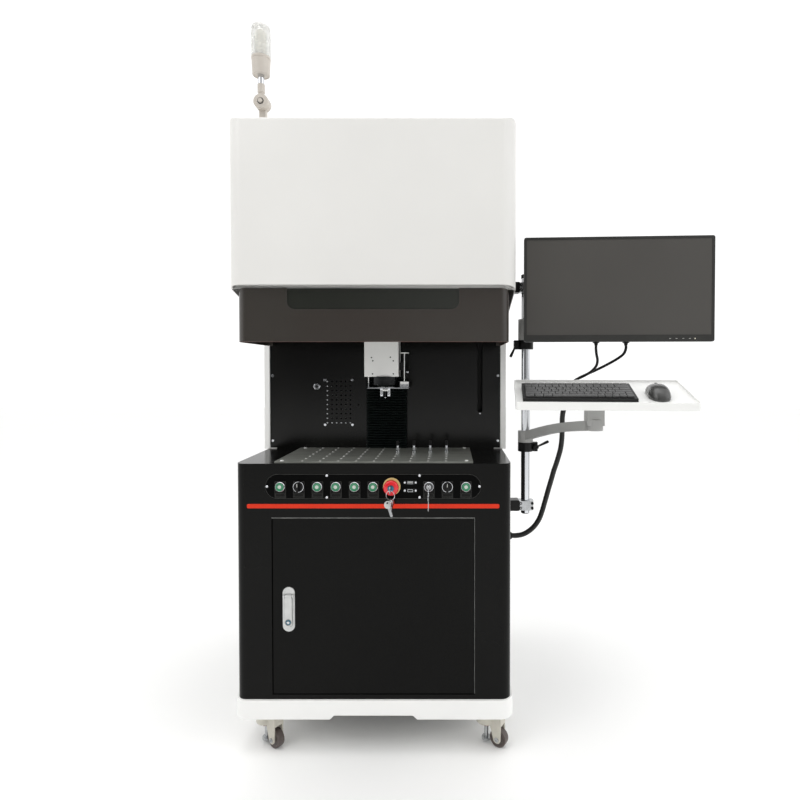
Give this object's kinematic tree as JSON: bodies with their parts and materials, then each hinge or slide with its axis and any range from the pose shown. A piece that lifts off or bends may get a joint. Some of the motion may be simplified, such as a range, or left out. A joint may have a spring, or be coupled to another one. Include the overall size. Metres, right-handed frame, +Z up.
{
  "type": "laser marking machine",
  "caption": "Floor-standing laser marking station: cabinet on levelling casters, chamber with lift shield and height-adjustable scan head, signal lamp, side mast with monitor and keyboard tray.",
  "frame": {"origin": "centre of the grid of fixture holes on the work table's upper face", "axes": "+Z up, +X to the operator's right, +Y from the front towards the back"},
  "size_m": [1.3583, 0.903, 2.023],
  "materials": {
    "white_paint": "satin powder coat",
    "black_paint": "satin powder coat",
    "panel_black": "semi-gloss",
    "stripe_red": "glossy",
    "table_plate": "dark anodised, satin",
    "bright_steel": "polished",
    "ground_steel": "ground",
    "black_plastic": "moulded",
    "black_metal": "satin",
    "grey_metal": "satin",
    "head_silver": "satin anodised",
    "lens_black": "black anodised",
    "bellows_black": "coated fabric",
    "shield_grey": "semi-gloss",
    "window_tint": "tinted",
    "button_green": "glossy",
    "estop_red": "glossy",
    "lock_metal": "satin",
    "latch_metal": "satin",
    "caster_cream": "satin",
    "caster_nylon": "moulded",
    "lamp_plastic": "moulded",
    "cable_rubber": "sleeved",
    "keyboard_black": "moulded",
    "mouse_grey": "moulded",
    "equipment_grey": "satin"
  },
  "bodies": {
    "machine": {"plinth": "white_paint", "cabinet_shell": "black_paint", "work_table": "table_plate", "locating_pins": "ground_steel", "trim_stripe": "stripe_red", "control_panel": "panel_black", "control_fittings": "bright_steel", "chamber_wall": "black_metal", "upper_housing": "white_paint", "rear_panel": "white_paint", "axis_frames": "grey_metal", "bellows": "bellows_black", "mast": "bright_steel", "mast_clamps": "black_metal", "caster_plates": "ground_steel", "laser_source": "equipment_grey", "computer": "black_metal", "cable_gland": "black_plastic", "cable_bundle": "cable_rubber", "lamp_foot": "lamp_plastic"},
    "shield": {"shield_cover": "shield_grey", "shield_window": "window_tint", "shield_fittings": "ground_steel"},
    "z_head": {"head_carriage": "head_silver", "scan_head": "head_silver", "scan_lens": "lens_black"},
    "lift_screw": {"z_screw": "ground_steel"},
    "door": {"cabinet_door": "black_paint", "lock_body": "lock_metal"},
    "pull_lever": {"lock_lever": "lock_metal"},
    "latch": {"latch_cam": "latch_metal"},
    "selector_knob_1": {"selector_1": "black_plastic"},
    "selector_knob_2": {"selector_2": "black_plastic"},
    "key": {"key_switch": "bright_steel"},
    "estop": {"estop_button": "estop_red"},
    "lamp": {"signal_lamp": "lamp_plastic"},
    "monitor_arm_body": {"monitor_arm": "grey_metal", "monitor_cables": "cable_rubber"},
    "monitor_head_body": {"monitor_head": "black_metal"},
    "monitor_body": {"monitor": "black_plastic"},
    "tray_arm_body": {"tray_arm": "grey_metal"},
    "tray": {"keyboard_tray": "white_paint", "keyboard": "keyboard_black", "mouse": "mouse_grey"},
    "arm_clamp_lever": {"arm_lever": "black_plastic"},
    "tray_clamp_lever": {"tray_lever": "black_plastic"},
    "button_1": {"push_button_1": "button_green"},
    "button_2": {"push_button_2": "button_green"},
    "button_3": {"push_button_3": "button_green"},
    "button_4": {"push_button_4": "button_green"},
    "button_5": {"push_button_5": "button_green"},
    "button_6": {"push_button_6": "button_green"},
    "caster_1": {"caster_fork_1": "caster_cream"},
    "wheel_1": {"caster_wheel_1": "caster_nylon"},
    "caster_2": {"caster_fork_2": "caster_cream"},
    "wheel_2": {"caster_wheel_2": "caster_nylon"},
    "caster_3": {"caster_fork_3": "caster_cream"},
    "wheel_3": {"caster_wheel_3": "caster_nylon"},
    "caster_4": {"caster_fork_4": "caster_cream"},
    "wheel_4": {"caster_wheel_4": "caster_nylon"}
  },
  "joints": [
    {"name": "shield_lift", "type": "slide", "parent": "machine", "child": "shield", "axis": [0, 0, 1], "range_m": [-0.334, 0]},
    {"name": "head_lift", "type": "slide", "parent": "machine", "child": "z_head", "axis": [0, 0, 1], "range_m": [-0.1, 0.2], "deforming": ["bellows"]},
    {"name": "screw_turn", "type": "hinge", "parent": "machine", "child": "lift_screw", "pos_m": [0, 0.188, 0], "axis": [0, 0, 1], "range_deg": [-3600, 7200]},
    {"name": "door_swing", "type": "hinge", "parent": "machine", "child": "door", "pos_m": [0.272, -0.141, -0.399], "axis": [0, 0, 1], "range_deg": [0, 110]},
    {"name": "lever_pull", "type": "hinge", "parent": "door", "child": "pull_lever", "pos_m": [-0.233, -0.1525, -0.368], "axis": [-1, 0, 0], "range_deg": [0, 40]},
    {"name": "latch_turn", "type": "hinge", "parent": "door", "child": "latch", "pos_m": [-0.233, -0.146, -0.44], "axis": [0, 1, 0], "range_deg": [0, 90]},
    {"name": "button_press_1", "type": "slide", "parent": "machine", "child": "button_1", "axis": [0, 1, 0], "range_m": [0, 0.003], "stiffness_N_per_m": 600, "springref_m": -0.002},
    {"name": "button_press_2", "type": "slide", "parent": "machine", "child": "button_2", "axis": [0, 1, 0], "range_m": [0, 0.003], "stiffness_N_per_m": 600, "springref_m": -0.002},
    {"name": "button_press_3", "type": "slide", "parent": "machine", "child": "button_3", "axis": [0, 1, 0], "range_m": [0, 0.003], "stiffness_N_per_m": 600, "springref_m": -0.002},
    {"name": "button_press_4", "type": "slide", "parent": "machine", "child": "button_4", "axis": [0, 1, 0], "range_m": [0, 0.003], "stiffness_N_per_m": 600, "springref_m": -0.002},
    {"name": "button_press_5", "type": "slide", "parent": "machine", "child": "button_5", "axis": [0, 1, 0], "range_m": [0, 0.003], "stiffness_N_per_m": 600, "springref_m": -0.002},
    {"name": "button_press_6", "type": "slide", "parent": "machine", "child": "button_6", "axis": [0, 1, 0], "range_m": [0, 0.003], "stiffness_N_per_m": 600, "springref_m": -0.002},
    {"name": "selector_turn_1", "type": "hinge", "parent": "machine", "child": "selector_knob_1", "pos_m": [-0.204, -0.152, -0.067], "axis": [0, 1, 0], "range_deg": [-45, 45]},
    {"name": "selector_turn_2", "type": "hinge", "parent": "machine", "child": "selector_knob_2", "pos_m": [0.204, -0.152, -0.067], "axis": [0, 1, 0], "range_deg": [-45, 45]},
    {"name": "key_turn", "type": "hinge", "parent": "machine", "child": "key", "pos_m": [0.153, -0.152, -0.067], "axis": [0, 1, 0], "range_deg": [0, 45]},
    {"name": "estop_press", "type": "slide", "parent": "machine", "child": "estop", "axis": [0, 1, 0], "range_m": [0, 0.004], "stiffness_N_per_m": 1500, "springref_m": -0.003},
    {"name": "caster_swivel_1", "type": "hinge", "parent": "machine", "child": "caster_1", "pos_m": [-0.316, -0.084, -0.756], "axis": [0, 0, 1], "continuous": true},
    {"name": "wheel_spin_1", "type": "hinge", "parent": "caster_1", "child": "wheel_1", "pos_m": [-0.28323, -0.10694, -0.791], "axis": [0.5736, 0.8192, 0], "continuous": true},
    {"name": "caster_swivel_2", "type": "hinge", "parent": "machine", "child": "caster_2", "pos_m": [0.316, -0.084, -0.756], "axis": [0, 0, 1], "continuous": true},
    {"name": "wheel_spin_2", "type": "hinge", "parent": "caster_2", "child": "wheel_2", "pos_m": [0.35064, -0.104, -0.791], "axis": [0.5, 0.866, 0], "continuous": true},
    {"name": "caster_swivel_3", "type": "hinge", "parent": "machine", "child": "caster_3", "pos_m": [-0.316, 0.592, -0.756], "axis": [0, 0, 1], "continuous": true},
    {"name": "wheel_spin_3", "type": "hinge", "parent": "caster_3", "child": "wheel_3", "pos_m": [-0.27841, 0.60568, -0.791], "axis": [-0.342, 0.9397, 0], "continuous": true},
    {"name": "caster_swivel_4", "type": "hinge", "parent": "machine", "child": "caster_4", "pos_m": [0.316, 0.592, -0.756], "axis": [0, 0, 1], "continuous": true},
    {"name": "wheel_spin_4", "type": "hinge", "parent": "caster_4", "child": "wheel_4", "pos_m": [0.35539, 0.59895, -0.791], "axis": [-0.1736, 0.9848, 0], "continuous": true},
    {"name": "lamp_fold", "type": "hinge", "parent": "machine", "child": "lamp", "pos_m": [-0.314, -0.106, 0.999], "axis": [0, 1, 0], "range_deg": [0, 90]},
    {"name": "arm_swing", "type": "hinge", "parent": "machine", "child": "monitor_arm_body", "pos_m": [0.452, 0.104, 0.318], "axis": [0, 0, 1], "range_deg": [-8, 75]},
    {"name": "head_swivel", "type": "hinge", "parent": "monitor_arm_body", "child": "monitor_head_body", "pos_m": [0.702, 0.044, 0.3913], "axis": [0, 0, 1], "range_deg": [-15, 15]},
    {"name": "monitor_tilt", "type": "hinge", "parent": "monitor_head_body", "child": "monitor_body", "pos_m": [0.69963, 0.00407, 0.3913], "axis": [0.9982, -0.0593, 0], "range_deg": [-15, 0]},
    {"name": "tray_swing", "type": "hinge", "parent": "machine", "child": "tray_arm_body", "pos_m": [0.452, 0.104, 0.024], "axis": [0, 0, -1], "range_deg": [0, 30]},
    {"name": "tray_tilt", "type": "hinge", "parent": "tray_arm_body", "child": "tray", "pos_m": [0.617, -0.106, 0.1553], "axis": [0.9954, -0.0958, 0], "range_deg": [-15, 10]},
    {"name": "arm_lever_turn", "type": "hinge", "parent": "machine", "child": "arm_clamp_lever", "pos_m": [0.42, 0.104, 0.3325], "axis": [0, 1, 0], "range_deg": [-30, 30]},
    {"name": "tray_lever_turn", "type": "hinge", "parent": "machine", "child": "tray_clamp_lever", "pos_m": [0.484, 0.104, 0.0085], "axis": [0, 1, 0], "range_deg": [-40, 60]}
  ],
  "couplings": [
    {"joint": "screw_turn", "follows": "head_lift", "rad_per_m": 628.32}
  ]
}
